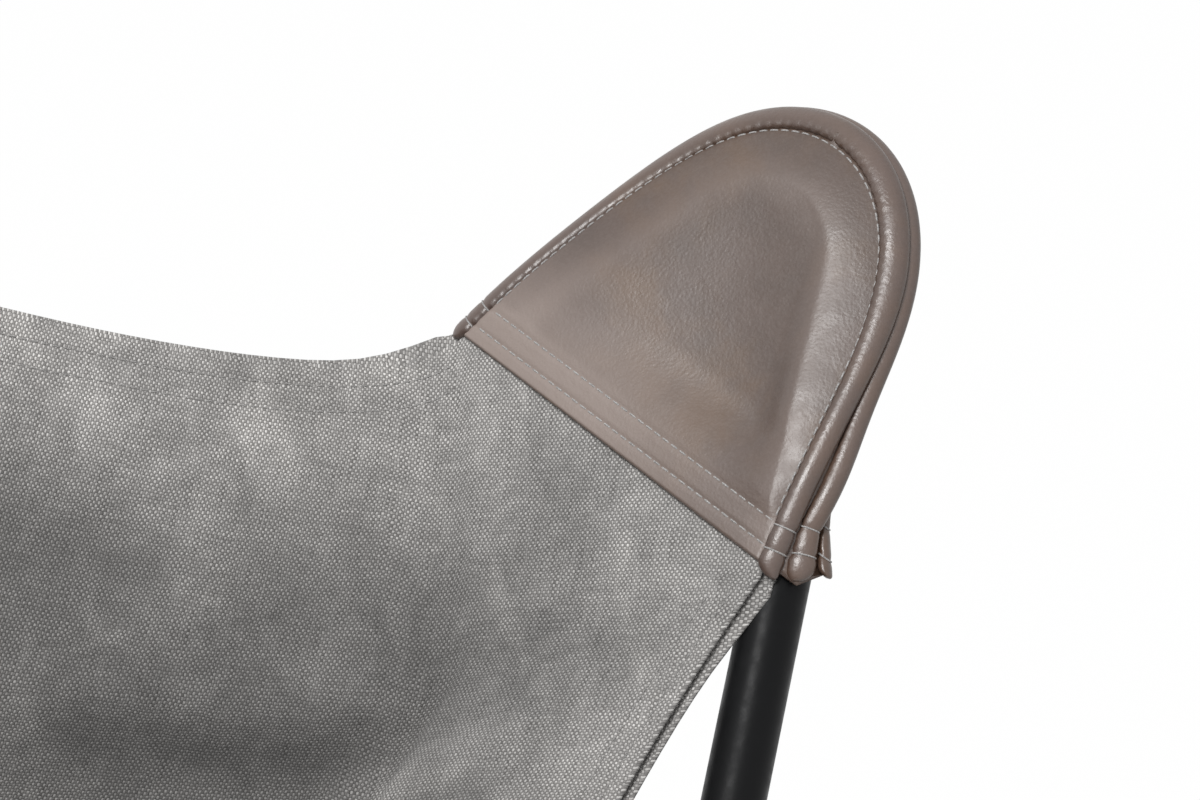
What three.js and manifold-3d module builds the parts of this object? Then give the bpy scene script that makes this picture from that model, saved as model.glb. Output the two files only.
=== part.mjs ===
// Butterfly sling chair: two crossed loops of bent tube carry a canvas sling by four leather pockets.
// Millimetres. The origin is on the floor under the middle, the front is -Y and up is +Z.
import * as THREE from 'three';
import { mergeVertices } from 'three/addons/utils/BufferGeometryUtils.js';
import Module from 'manifold-3d';

// Frame tube and its four ears and feet
const TUBE_D = 18;
const TUBE_WALL = 1.5;
const EAR_BEND = 28;
const FOOT_BEND = 42;
const FRONT_EAR_X = 385;
const FRONT_EAR_Y = 405;
const FRONT_EAR_Z = 645;
const BACK_EAR_X = 350;
const BACK_EAR_Y = 400;
const BACK_EAR_Z = 940;
const FRONT_FOOT_X = 290;
const BACK_FOOT_X = 242;
const FOOT_Y = 265;
const STEP_MOST = 54;

// Crossings, where a saddle keeps the loops apart and a bolt holds them
const SADDLE_WEB = 2.2;
const SADDLE_D = 15;
const BOLT_D = 6;
const BOLT_END = 1;
const HEAD_D = 12;
const HEAD_H = 3.6;
const HEAD_RIM = 1.2;
const SOCKET_FLATS = 4;
const SOCKET_DEPTH = 2;
const NUT_FLATS = 10;
const NUT_H = 5;
const NUT_DOME_D = 9;
const NUT_DOME_H = 3.4;

// Floor glides
const GLIDE_SOLE = 3;
const GLIDE_LENGTH = 44;
const GLIDE_WALL = 4.5;

// Leather pockets
const POCKET_H = 118;
const POCKET_HALF = 72;
const POCKET_TAPER = 0.2;
const POCKET_BLUNTNESS = 4.5;
const POCKET_SLACK = 13;
const LEATHER = 1.6;
const BINDING_W = 7.2;
const BINDING_T = 2.4;
const GUSSET_T = 1.3;
const FRONT_RIM = 4;
const BACK_RIM = 2.2;
const BACK_RIM_BASE = 4;
const FLANGE_RUN = 100;
const ROLL_OVER = 16;
const ROLL_LEAST = 6;
const ROLL_SQUARENESS = 3;
const SLEEVE = 1.5;

// Canvas sling
const CANVAS = 1;
const LAP = 22;
const EDGE_CLEAR = 0.4;
const SEAT_SAG = 130;
const SAG_SPREAD = 2.2;
const FRONT_EDGE_LEAVE = 240;
const BACK_EDGE_LEAVE = 152;
const SIDE_EDGE_LEAVE_FRONT = 64;
const SIDE_EDGE_LEAVE_BACK = 157;

// Fit and fineness
const GAP = 0.3;
const TUBE_SIDES = 12;
const BORE_SIDES = 8;
const HOLE_SIDES = 12;
const TURNED_SIDES = 16;
const HEX_SIDES = 6;
const CLASP_SIDES = 24;
const DOME_STEPS = 4;
const GLIDE_ARC_STEPS = 6;
const BEND_STEPS = 9;
const POCKET_STEPS = 16;
const ROLL_STEPS = 4;
const ROLL_CROWDING = 1.5;
const SPINE_SHARE = 0.5;
const SLING_CELLS = 18;
const POCKET_CELLS = 3;
const SLOPE_STEP = 1e-3;
const WELD = 1e-4;
const FOOT_PASSES = 20;
const HALVINGS = 40;

const TUBE_R = TUBE_D / 2;
const wasm = await Module();
wasm.setup();

const vec = (x, y, z) => new THREE.Vector3(x, y, z);
const along = (p, d, k) => p.clone().addScaledVector(d, k);
const towards = (p, q) => q.clone().sub(p).normalize();
const mix = (a, b, k) => a + (b - a) * k;
const smooth = (k) => THREE.MathUtils.smoothstep(k, 0, 1);
const ease = (k) => THREE.MathUtils.smootherstep(k, 0, 1);

function finish(name, color, roughness, metalness = 0) {
  return new THREE.MeshStandardMaterial({ name, color, roughness, metalness });
}

const materials = {
  steel: finish('black_steel', 0x141415, 0.4, 0.2),
  zinc: finish('black_zinc', 0x2a2a2c, 0.45, 0.8),
  plastic: finish('black_plastic', 0x1b1b1c, 0.6),
  leather: finish('grey_leather', 0x7d736d, 0.5),
  canvas: finish('grey_canvas', 0x929090, 0.9),
};

const group = new THREE.Group();
group.name = 'butterfly_sling_chair';

function add(name, geometry, material) {
  const flat = geometry.index ? geometry.toNonIndexed() : geometry;
  flat.deleteAttribute('normal');
  flat.computeVertexNormals();
  const mesh = new THREE.Mesh(flat, material.clone());
  mesh.name = name;
  group.add(mesh);
}

// A closed geometry from points and triangles, turned so that it faces outwards
function closed(points, triangles) {
  let volume = 0;
  for (const [a, b, c] of triangles) {
    volume += points[a].dot(points[b].clone().cross(points[c]));
  }
  const faces = volume < 0 ? triangles.map(([a, b, c]) => [a, c, b]) : triangles;
  const geometry = new THREE.BufferGeometry();
  const flat = points.flatMap((p) => [p.x, p.y, p.z]);
  geometry.setAttribute('position', new THREE.Float32BufferAttribute(flat, 3));
  geometry.setIndex(faces.flat());
  return geometry;
}

// A skin with thickness: the same triangles on two sheets of points, joined round their free edges
function thicken(upper, lower, triangles) {
  const count = upper.length;
  const used = triangles.filter(([a, b, c]) => a !== b && b !== c && c !== a);
  const edges = new Map();
  for (const face of used) {
    for (let k = 0; k < 3; k++) {
      const a = face[k];
      const b = face[(k + 1) % 3];
      if (!edges.delete(`${b},${a}`)) edges.set(`${a},${b}`, [a, b]);
    }
  }
  const all = used.concat(used.map(([a, b, c]) => [a + count, c + count, b + count]));
  for (const [a, b] of edges.values()) {
    all.push([b, a, a + count], [b, a + count, b + count]);
  }
  return closed(upper.concat(lower), all);
}

// A body swept through rings of points, capped at both ends or joined up as a loop
function sweep(rings, loop = false) {
  const sides = rings[0].length;
  const triangles = [];
  const spans = loop ? rings.length : rings.length - 1;
  for (let i = 0; i < spans; i++) {
    const near = i * sides;
    const far = ((i + 1) % rings.length) * sides;
    for (let k = 0; k < sides; k++) {
      const next = (k + 1) % sides;
      triangles.push([near + k, near + next, far + next], [near + k, far + next, far + k]);
    }
  }
  if (!loop) {
    const last = spans * sides;
    for (let k = 1; k < sides - 1; k++) {
      triangles.push([0, k + 1, k], [last, last + k, last + k + 1]);
    }
  }
  return closed(rings.flat(), triangles);
}

function solid(geometry) {
  const plain = geometry.clone();
  plain.deleteAttribute('normal');
  plain.deleteAttribute('uv');
  const welded = mergeVertices(plain, WELD);
  const vertProperties = welded.attributes.position.array;
  const triVerts = Uint32Array.from(welded.index.array);
  return new wasm.Manifold(new wasm.Mesh({ numProp: 3, vertProperties, triVerts }));
}

function unsolid(body) {
  const mesh = body.getMesh();
  const geometry = new THREE.BufferGeometry();
  geometry.setAttribute('position', new THREE.BufferAttribute(mesh.vertProperties, 3));
  geometry.setIndex(new THREE.BufferAttribute(mesh.triVerts, 1));
  return geometry;
}

// A turned shape stood on a point: profile pairs are radius and height along the axis
function turned(profile, origin, axis, sides = TURNED_SIDES) {
  const points = profile.map(([r, h]) => new THREE.Vector2(r, h));
  const geometry = new THREE.LatheGeometry(points, sides);
  geometry.applyQuaternion(new THREE.Quaternion().setFromUnitVectors(vec(0, 1, 0), axis));
  return solid(geometry.translate(origin.x, origin.y, origin.z));
}

const drum = (radius, low, high) => [[0, low], [radius, low], [radius, high], [0, high]];

const rod = (from, to, radius, sides = TURNED_SIDES) => turned(
  drum(radius, 0, from.distanceTo(to)), from, towards(from, to), sides);

// Profile of a dome, from its rim in to the axis
function dome(radius, rim, top) {
  return Array.from({ length: DOME_STEPS + 1 }, (_, k) => {
    const angle = Math.PI / 2 * k / DOME_STEPS;
    return [k < DOME_STEPS ? radius * Math.cos(angle) : 0, mix(rim, top, Math.sin(angle))];
  });
}

// Frame: each loop runs ear, foot, ear, foot, and the outer one stands a step wider at its feet
function ear(sx, sy) {
  if (sy < 0) return vec(sx * FRONT_EAR_X, -FRONT_EAR_Y, FRONT_EAR_Z);
  return vec(sx * BACK_EAR_X, BACK_EAR_Y, BACK_EAR_Z);
}

// The point a foot's legs aim at, sunk until the bend's lowest point stands on the glide's sole
function foot(sx, sy, step) {
  const point = vec(sx * ((sy < 0 ? FRONT_FOOT_X : BACK_FOOT_X) + step), sy * (FOOT_Y + step), 0);
  for (let pass = 0; pass < FOOT_PASSES; pass++) {
    const up = towards(point, ear(-sx, sy));
    const across = towards(point, ear(sx, -sy));
    const middle = up.clone().add(across).normalize();
    const side = up.clone().sub(across).normalize();
    const centre = middle.z * FOOT_BEND / Math.sin(up.angleTo(across) / 2);
    const lowest = point.z + centre - FOOT_BEND * Math.hypot(middle.z, side.z);
    point.z += TUBE_R + GLIDE_SOLE - lowest;
  }
  return point;
}

const loopCorners = (hand, step) => [
  { at: ear(hand, -1), bend: EAR_BEND },
  { at: foot(hand, 1, step), bend: FOOT_BEND },
  { at: ear(-hand, 1), bend: EAR_BEND },
  { at: foot(-hand, -1, step), bend: FOOT_BEND },
];

// The nearest points of two legs, on the outer one first
function crossing(outer, inner) {
  const [p, d] = [outer[0], towards(...outer)];
  const [q, e] = [inner[0], towards(...inner)];
  const w = p.clone().sub(q);
  const de = d.dot(e);
  const k = (de * e.dot(w) - d.dot(w)) / (1 - de * de);
  const m = (e.dot(w) - de * d.dot(w)) / (1 - de * de);
  return { outer: along(p, d, k), inner: along(q, e, m), legs: [d, e] };
}

function crossings(step) {
  const wide = loopCorners(1, step).map((c) => c.at);
  const near = loopCorners(-1, -step).map((c) => c.at);
  return {
    front: crossing([wide[0], wide[3]], [near[0], near[3]]),
    right: crossing([wide[0], wide[1]], [near[2], near[3]]),
    back: crossing([wide[2], wide[1]], [near[2], near[1]]),
    left: crossing([wide[2], wide[3]], [near[0], near[1]]),
  };
}

// Half the step between the loops' feet that leaves room for the thinnest saddle
function footStep() {
  let low = 0;
  let high = STEP_MOST;
  for (let pass = 0; pass < HALVINGS; pass++) {
    const middle = (low + high) / 2;
    const spans = Object.values(crossings(middle)).map((c) => {
      const apart = c.outer.clone().sub(c.inner);
      return Math.sign(apart.x * c.outer.x + apart.y * c.outer.y) * apart.length();
    });
    if (Math.min(...spans) < TUBE_D + SADDLE_WEB) low = middle;
    else high = middle;
  }
  return high;
}

const STEP = footStep();
const loops = {
  outer: loopCorners(1, STEP),
  inner: loopCorners(-1, -STEP),
};
const joints = crossings(STEP);

// Centreline of one rounded corner, as points with their directions
function bend(before, corner, after) {
  const back = towards(corner.at, before.at);
  const on = towards(corner.at, after.at);
  const half = back.angleTo(on) / 2;
  const middle = back.clone().add(on).normalize();
  const side = on.clone().sub(back).normalize();
  const centre = along(corner.at, middle, corner.bend / Math.sin(half));
  const turn = Math.PI / 2 - half;
  return Array.from({ length: BEND_STEPS + 1 }, (_, k) => {
    const angle = mix(-turn, turn, k / BEND_STEPS);
    const out = middle.clone().multiplyScalar(-Math.cos(angle)).addScaledVector(side, Math.sin(angle));
    const on = middle.clone().multiplyScalar(Math.sin(angle)).addScaledVector(side, Math.cos(angle));
    return { at: along(centre, out, corner.bend), direction: on };
  });
}

function loopPath(corners) {
  return corners.flatMap((corner, k) => bend(corners.at(k - 1), corner, corners[(k + 1) % corners.length]));
}

// Rings round a closed path, carried without twist and then eased so that the last meets the first
function loopRings(path, radius, sides) {
  const frames = [];
  let across = vec(0, 0, 1).projectOnPlane(path[0].direction).normalize();
  for (const { direction } of [...path, path[0]]) {
    across = across.clone().projectOnPlane(direction).normalize();
    frames.push(across);
  }
  const first = path[0].direction;
  const twist = Math.atan2(frames.at(-1).clone().cross(frames[0]).dot(first), frames.at(-1).dot(frames[0]));
  return path.map(({ at, direction }, i) => {
    const start = frames[i].clone().applyAxisAngle(direction, twist * i / path.length);
    return Array.from({ length: sides }, (_, k) => {
      const spoke = start.clone().applyAxisAngle(direction, 2 * Math.PI * k / sides);
      return along(at, spoke, radius);
    });
  });
}

// The bore that a crossing's bolt passes through, right across both tubes
function boltHole(joint) {
  const axis = towards(joint.inner, joint.outer);
  const [start, end] = [along(joint.inner, axis, -TUBE_D), along(joint.outer, axis, TUBE_D)];
  return rod(start, end, BOLT_D / 2 + GAP, HOLE_SIDES);
}

const drill = Object.values(joints).map(boltHole);

for (const [name, corners] of Object.entries(loops)) {
  const path = loopPath(corners);
  const bar = solid(sweep(loopRings(path, TUBE_R, TUBE_SIDES), true));
  const bore = solid(sweep(loopRings(path, TUBE_R - TUBE_WALL, BORE_SIDES), true));
  const tube = drill.reduce((body, hole) => body.subtract(hole), bar.subtract(bore));
  add(`${name}_loop`, unsolid(tube), materials.steel);
}

// Crossings: saddle between the tubes, bolt from outside, cap nut inside
for (const [name, joint] of Object.entries(joints)) {
  const axis = towards(joint.inner, joint.outer);
  const clear = TUBE_R + GAP;
  const passing = (at, leg) => rod(along(at, leg, -TUBE_D), along(at, leg, TUBE_D), clear, CLASP_SIDES);
  const saddle = rod(joint.inner, joint.outer, SADDLE_D / 2)
    .subtract(passing(joint.outer, joint.legs[0]))
    .subtract(passing(joint.inner, joint.legs[1]))
    .subtract(boltHole(joint));
  add(`saddle_${name}`, unsolid(saddle), materials.plastic);

  const seat = along(joint.inner, axis, -clear);
  const reach = joint.inner.distanceTo(joint.outer) + 2 * clear;
  const shank = BOLT_D / 2;
  const tip = -NUT_H - BOLT_END;
  const top = reach + HEAD_H;
  const head = dome(HEAD_D / 2, reach + HEAD_RIM, top);
  const bolt = turned([[0, tip], [shank, tip], [shank, reach], [HEAD_D / 2, reach], ...head], seat, axis);
  const hollow = drum(SOCKET_FLATS / Math.sqrt(3), top - SOCKET_DEPTH, top + GAP);
  const socket = turned(hollow, seat, axis, HEX_SIDES);
  add(`bolt_${name}`, unsolid(bolt.subtract(socket)), materials.zinc);

  const inward = axis.clone().negate();
  const hexagon = turned(drum(NUT_FLATS / Math.sqrt(3), 0, NUT_H), seat, inward, HEX_SIDES);
  const cap = turned([
    [0, NUT_H / 2], [NUT_DOME_D / 2, NUT_H / 2], ...dome(NUT_DOME_D / 2, NUT_H, NUT_H + NUT_DOME_H),
  ], seat, inward, HOLE_SIDES);
  const thread = rod(along(seat, axis, GAP), along(seat, axis, tip - GAP), shank + GAP);
  add(`nut_${name}`, unsolid(hexagon.add(cap).subtract(thread)), materials.zinc);
}

// Floor glides: a block under each foot bend, hollowed by the tube that it clips on to
const sideName = (sx, sy) => `${sy < 0 ? 'front' : 'back'}_${sx < 0 ? 'left' : 'right'}`;

for (const corners of Object.values(loops)) {
  for (const k of [1, 3]) {
    const path = bend(corners[k - 1], corners[k], corners[(k + 1) % corners.length]);
    const lowest = path.reduce((a, b) => (a.at.z < b.at.z ? a : b));
    const heading = Math.atan2(lowest.direction.y, lowest.direction.x);
    const width = TUBE_D + 2 * GLIDE_WALL;
    const outline = new THREE.Shape();
    const straight = (GLIDE_LENGTH - width) / 2;
    outline.absarc(straight, 0, width / 2, -Math.PI / 2, Math.PI / 2);
    outline.absarc(-straight, 0, width / 2, Math.PI / 2, Math.PI * 1.5);
    const height = GLIDE_SOLE + TUBE_R;
    const block = new THREE.ExtrudeGeometry(outline, {
      depth: height, bevelEnabled: false, curveSegments: GLIDE_ARC_STEPS,
    });
    block.rotateZ(heading).translate(lowest.at.x, lowest.at.y, 0);
    const rings = path.map(({ at, direction }) => {
      const across = vec(0, 0, 1).cross(direction).normalize();
      const up = direction.clone().cross(across);
      return Array.from({ length: CLASP_SIDES }, (_, s) => {
        const angle = 2 * Math.PI * s / CLASP_SIDES;
        const spoke = across.clone().multiplyScalar(Math.cos(angle)).addScaledVector(up, Math.sin(angle));
        return along(at, spoke, TUBE_R + GAP);
      });
    });
    const glide = solid(block).subtract(solid(sweep(rings)));
    add(`glide_${sideName(corners[k].at.x, corners[k].at.y)}`, unsolid(glide), materials.plastic);
  }
}

// Ears: the plane of each ear, with the height of its pocket's base and the pocket's half width there
function earFrame(sx, sy) {
  const corners = sx * sy < 0 ? loops.outer : loops.inner;
  const at = ear(sx, sy);
  const feet = [corners[1].at, corners[3].at];
  const xFoot = feet.find((p) => p.y * sy > 0);
  const yFoot = feet.find((p) => p.y * sy < 0);
  const xLeg = towards(at, xFoot);
  const yLeg = towards(at, yFoot);
  const up = xLeg.clone().add(yLeg).normalize().negate();
  const across = xLeg.clone().sub(yLeg).normalize();
  const facing = across.clone().cross(up);
  if (facing.z < 0) facing.negate();
  const half = xLeg.angleTo(yLeg) / 2;
  const tubeTop = -EAR_BEND * (1 / Math.sin(half) - 1);
  const base = tubeTop + TUBE_R + POCKET_SLACK - POCKET_H;
  const place = (t, h, n) => along(along(along(at, across, t), up, base + h), facing, n);
  const centre = tubeTop - EAR_BEND - base;
  // Half the width, at a height, of the line that runs round the ear this far outside the tube's middle
  const halfWidth = (h, outside) => {
    const bent = EAR_BEND + outside;
    if (h < centre + bent * Math.sin(half)) return outside / Math.cos(half) - (base + h) * Math.tan(half);
    return Math.sqrt(Math.max(0, bent ** 2 - (h - centre) ** 2));
  };
  return { place, halfWidth, bendStart: centre + EAR_BEND * Math.sin(half), up };
}

// Point on a pocket's outline, drawn in by an inset: sides that lean in by the taper, then a blunt
// round tip (a bluntness of 2 is an ellipse); angle 0 and PI are the base's corners
function outlinePoint(angle, inset) {
  const rise = Math.abs(Math.sin(angle));
  const h = (POCKET_H - inset) * rise;
  const side = POCKET_HALF - inset - POCKET_TAPER * h;
  const t = -Math.sign(Math.cos(angle)) * side * Math.sqrt(1 - rise ** POCKET_BLUNTNESS);
  return { t, h };
}

// How far before the tube's middle each seam runs: over the tube at the base, near its side at the tip
const canvasTop = TUBE_R + 2 * CANVAS + 3 * GAP;
const baseShare = (h) => 1 - smooth((h - LAP / 2) / FLANGE_RUN);
const frontSeam = (h) => mix(FRONT_RIM, canvasTop + GAP, baseShare(h));
const backSeam = (h) => mix(-BACK_RIM, BACK_RIM_BASE, baseShare(h));

// How far a rim is spread beyond the outline, so that it passes outside the tube where it lies beside it
function rimSpread(frame, angle, seam) {
  const { t, h } = outlinePoint(angle, BINDING_W + GAP + LEATHER);
  const room = (TUBE_R + SLEEVE) ** 2 - seam(h) ** 2;
  return room > 0 ? Math.max(0, frame.halfWidth(h, Math.sqrt(room)) - Math.abs(t)) : 0;
}

// A dished leather panel: outer and inner skins rise from the seam to the flat over the tube
function panel(frame, facing, seam, crown) {
  const columns = Array.from({ length: ROLL_STEPS + 1 }, (_, j) => (j / ROLL_STEPS) ** ROLL_CROWDING);
  const sheet = (extra, rise) => {
    const points = [];
    const index = [];
    const spine = new Map();
    for (let i = 0; i <= POCKET_STEPS; i++) {
      const angle = Math.PI * i / POCKET_STEPS;
      const edge = outlinePoint(angle, BINDING_W + GAP + extra);
      const start = { t: edge.t + Math.sign(edge.t) * rimSpread(frame, angle, seam), h: edge.h };
      const end = { t: 0, h: Math.min(edge.h, POCKET_H * SPINE_SHARE) };
      const length = Math.hypot(end.t - start.t, end.h - start.h);
      const legRoom = Math.abs(start.t) - frame.halfWidth(edge.h, 0);
      const beside = THREE.MathUtils.clamp(legRoom, ROLL_LEAST, ROLL_OVER);
      const roll = edge.h > frame.bendStart ? ROLL_OVER : beside;
      const row = [];
      for (const column of [...columns, null]) {
        const key = end.h.toFixed(3);
        if (column === null && spine.has(key)) {
          row.push(spine.get(key));
          continue;
        }
        const k = column === null ? 1 : Math.min(1, column * roll / length);
        const x = column === null ? 1 : column;
        const lift = (1 - (1 - x) ** ROLL_SQUARENESS) ** (1 / ROLL_SQUARENESS);
        const h = mix(start.h, end.h, k);
        const n = mix(seam(edge.h), crown(h) + rise * facing, lift);
        if (column === null) spine.set(key, points.length);
        row.push(points.length);
        points.push(frame.place(mix(start.t, end.t, k), h, n));
      }
      index.push(row);
    }
    return { points, index };
  };
  const outer = sheet(0, LEATHER);
  const inner = sheet(LEATHER, 0);
  const triangles = [];
  for (let i = 0; i < POCKET_STEPS; i++) {
    for (let j = 0; j < columns.length; j++) {
      const [a, b] = [outer.index[i][j], outer.index[i][j + 1]];
      const [c, d] = [outer.index[i + 1][j + 1], outer.index[i + 1][j]];
      triangles.push([a, b, c], [a, c, d]);
    }
  }
  return thicken(outer.points, inner.points, triangles);
}

// A strip swept along a pocket's rim: each corner of its section has an inset, a seam and a step from it
function strip(frame, section) {
  const rings = Array.from({ length: POCKET_STEPS + 1 }, (_, i) => {
    const angle = Math.PI * i / POCKET_STEPS;
    const height = outlinePoint(angle, 0).h;
    return section.map(([inset, seam, step]) => {
      const { t, h } = outlinePoint(angle, inset);
      return frame.place(t + Math.sign(t) * rimSpread(frame, angle, seam), h, seam(height) + step);
    });
  });
  return sweep(rings);
}

const bindingSection = (seam, facing) => [
  [BINDING_W, seam, 0], [0, seam, 0], [0, seam, facing * BINDING_T], [BINDING_W, seam, facing * BINDING_T],
];
const gussetMiddle = BINDING_W / 2;
const gussetSection = [
  [gussetMiddle + GUSSET_T, backSeam, GAP], [gussetMiddle, backSeam, GAP],
  [gussetMiddle, frontSeam, -GAP], [gussetMiddle + GUSSET_T, frontSeam, -GAP],
];
const lapCrown = (h) => mix(TUBE_R + 2 * GAP, canvasTop + 3 * GAP, 1 - smooth((h - LAP) / LAP));
const backCrown = () => -TUBE_R - 2 * GAP;

const frames = {};
for (const sy of [-1, 1]) {
  for (const sx of [-1, 1]) {
    const frame = earFrame(sx, sy);
    const name = `pocket_${sideName(sx, sy)}`;
    frames[`${sx},${sy}`] = frame;
    add(`${name}_front_panel`, panel(frame, 1, frontSeam, lapCrown), materials.leather);
    add(`${name}_back_panel`, panel(frame, -1, backSeam, backCrown), materials.leather);
    add(`${name}_front_binding`, strip(frame, bindingSection(frontSeam, 1)), materials.leather);
    add(`${name}_back_binding`, strip(frame, bindingSection(backSeam, -1)), materials.leather);
    add(`${name}_gusset`, strip(frame, gussetSection), materials.leather);
  }
}

// Sling: a patch on four edges, each straight on the pockets and hanging between them
const STRAIGHT = POCKET_CELLS / SLING_CELLS;

function slingEdge(side, from, leaveFrom, to, leaveTo) {
  const level = canvasTop - CANVAS - GAP;
  const edge = POCKET_HALF - gussetMiddle - GUSSET_T - EDGE_CLEAR;
  const corner = (frame) => frame.place(side * edge, 0, level);
  const apex = (frame) => frame.place(0, POCKET_HALF, level);
  const [a, b] = [corner(from), corner(to)];
  const curve = new THREE.CubicBezierCurve3(
    a, along(a, from.up, -leaveFrom), along(b, to.up, -leaveTo), b);
  return (k) => {
    if (k < STRAIGHT) return apex(from).lerp(a, k / STRAIGHT);
    if (k > 1 - STRAIGHT) return b.clone().lerp(apex(to), (k - 1 + STRAIGHT) / STRAIGHT);
    return curve.getPointAt((k - STRAIGHT) / (1 - 2 * STRAIGHT));
  };
}

const [frontLeft, frontRight] = [frames['-1,-1'], frames['1,-1']];
const [backLeft, backRight] = [frames['-1,1'], frames['1,1']];
const edges = {
  front: slingEdge(1, frontLeft, FRONT_EDGE_LEAVE, frontRight, FRONT_EDGE_LEAVE),
  back: slingEdge(1, backLeft, BACK_EDGE_LEAVE, backRight, BACK_EDGE_LEAVE),
  left: slingEdge(-1, frontLeft, SIDE_EDGE_LEAVE_FRONT, backLeft, SIDE_EDGE_LEAVE_BACK),
  right: slingEdge(-1, frontRight, SIDE_EDGE_LEAVE_FRONT, backRight, SIDE_EDGE_LEAVE_BACK),
};

function slingPoint(u, v) {
  const [p, q] = [ease(u), ease(v)];
  const point = vec(0, 0, 0);
  point.addScaledVector(edges.front(u), 1 - q).addScaledVector(edges.back(u), q);
  point.addScaledVector(edges.left(v), 1 - p).addScaledVector(edges.right(v), p);
  point.addScaledVector(edges.front(0), -(1 - p) * (1 - q)).addScaledVector(edges.front(1), -p * (1 - q));
  point.addScaledVector(edges.back(0), -(1 - p) * q).addScaledVector(edges.back(1), -p * q);
  const bowl = (k) => Math.sin(Math.PI * k) ** SAG_SPREAD;
  point.z -= SEAT_SAG * bowl(u) * bowl(v);
  return point;
}

// Cells of the sling's grid, with its four corners cut off along the pockets' bases
function slingGrid() {
  const points = [];
  const index = new Map();
  const cut = POCKET_CELLS - 1;
  const inside = (i, j) => Math.min(i, SLING_CELLS - i) + Math.min(j, SLING_CELLS - j) >= cut;
  const at = (i, j) => {
    const key = `${i},${j}`;
    if (!index.has(key)) {
      index.set(key, points.length);
      points.push({ u: i / SLING_CELLS, v: j / SLING_CELLS });
    }
    return index.get(key);
  };
  const triangles = [];
  for (let i = 0; i < SLING_CELLS; i++) {
    for (let j = 0; j < SLING_CELLS; j++) {
      const ring = [[i, j], [i + 1, j], [i + 1, j + 1], [i, j + 1]];
      const kept = ring.filter((p) => inside(...p));
      if (kept.length < 3) continue;
      const ids = kept.map((p) => at(...p));
      triangles.push([ids[0], ids[1], ids[2]]);
      if (ids.length === 4) triangles.push([ids[0], ids[2], ids[3]]);
    }
  }
  return { points, triangles };
}

const grid = slingGrid();
const before = (k) => Math.max(k - SLOPE_STEP, 0);
const after = (k) => Math.min(k + SLOPE_STEP, 1);
const sling = grid.points.map(({ u, v }) => {
  const du = slingPoint(after(u), v).sub(slingPoint(before(u), v));
  const dv = slingPoint(u, after(v)).sub(slingPoint(u, before(v)));
  return { at: slingPoint(u, v), normal: du.cross(dv).normalize() };
});
const layer = (low, high) => thicken(
  sling.map(({ at, normal }) => along(at, normal, high)),
  sling.map(({ at, normal }) => along(at, normal, low)), grid.triangles);
add('canvas_face', layer(GAP / 2, GAP / 2 + CANVAS), materials.canvas);
add('canvas_lining', layer(-GAP / 2 - CANVAS, -GAP / 2), materials.canvas);

export default group;
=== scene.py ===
"""Looks of a butterfly sling chair: two bent tubes, a two-layer canvas sling and four leather pockets.

Sizes are in millimetres, as in the CAD model; MM turns them into Blender's metres.
"""
import math

import bmesh
import bpy
import numpy as np
from mathutils import Matrix, Vector


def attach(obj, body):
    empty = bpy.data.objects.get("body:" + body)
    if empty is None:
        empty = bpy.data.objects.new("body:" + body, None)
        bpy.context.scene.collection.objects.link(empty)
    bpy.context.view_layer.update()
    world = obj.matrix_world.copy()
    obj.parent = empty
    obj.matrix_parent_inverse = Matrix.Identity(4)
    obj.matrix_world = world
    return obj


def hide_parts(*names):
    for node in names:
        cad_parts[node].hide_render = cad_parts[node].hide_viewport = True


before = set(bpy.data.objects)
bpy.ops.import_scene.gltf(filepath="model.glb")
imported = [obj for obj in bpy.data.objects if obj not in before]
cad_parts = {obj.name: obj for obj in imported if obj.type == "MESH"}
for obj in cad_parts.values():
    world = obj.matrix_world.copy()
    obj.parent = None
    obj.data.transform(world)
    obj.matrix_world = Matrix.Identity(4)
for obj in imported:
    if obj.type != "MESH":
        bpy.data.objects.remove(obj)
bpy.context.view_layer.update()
MM = 0.001

# Tube frame
TUBE_R = 9
EAR_BEND = 28
FOOT_BEND = 42
EARS = {"front_left": (-385, -405, 645), "front_right": (385, -405, 645),
        "back_left": (-350, 400, 940), "back_right": (350, 400, 940)}
FEET = {"front_left": (-308.06, -283.06, -21.92), "back_right": (260.06, 283.06, -21.09),
        "front_right": (271.94, -246.94, -21.47), "back_left": (-223.94, 246.94, -20.73)}
LOOPS = {"outer_loop": ("front_right", "back_right", "back_left", "front_left"),
         "inner_loop": ("front_left", "back_left", "back_right", "front_right")}
TUBE_SIDES = 40
BEND_STEPS = 28

# Layers: thicknesses, the clearance between them and how far a pocket laps over the canvas
LEATHER = 1.6
CANVAS = 1.0
GAP = 0.3
LAP = 22
CANVAS_TOP = TUBE_R + 2 * CANVAS + 3 * GAP

# Pocket pattern, and how far its top hangs over the middle of its base
POCKET_H = 118
POCKET_HALF = 72
POCKET_TAPER = 0.25
POCKET_BLUNTNESS = 6
POCKET_HANG = 96
POCKET_COLUMNS = 130
POCKET_ROWS = 110
ROW_CROWDING = 0.6

# How each pocket sits on its ear: turn in degrees, shifts across and along the ear, lean, depth of its dent
SEATING = {"front_right": (-3.28, -3.3, 3.5, 0.02, 5.4), "front_left": (1.6, 1.5, 1.0, 0.0, 3.8),
           "back_left": (-1.2, -1.0, 0.5, 0.0, 3.0), "back_right": (1.8, 1.2, 0.8, 0.0, 3.4)}

# Panels over the ear's plane; pairs are for the front and the back, but a ramp's are its start and its run
PANEL_INSET = 5.0
PANEL_START = (0.04, 0.085)
PANEL_SLOPE = (1.3, 2.2)
SLACK = 4.0
SLACK_RAMP = 20, 65
HOLLOW = 1.0
HOLLOW_RAMP = 6, 34
HOLLOW_REACH = 18
VALLEY = 0.85
DENT_RAMP = 13, 22
DENT_AT, DENT_RUN = 28, 36
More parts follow.
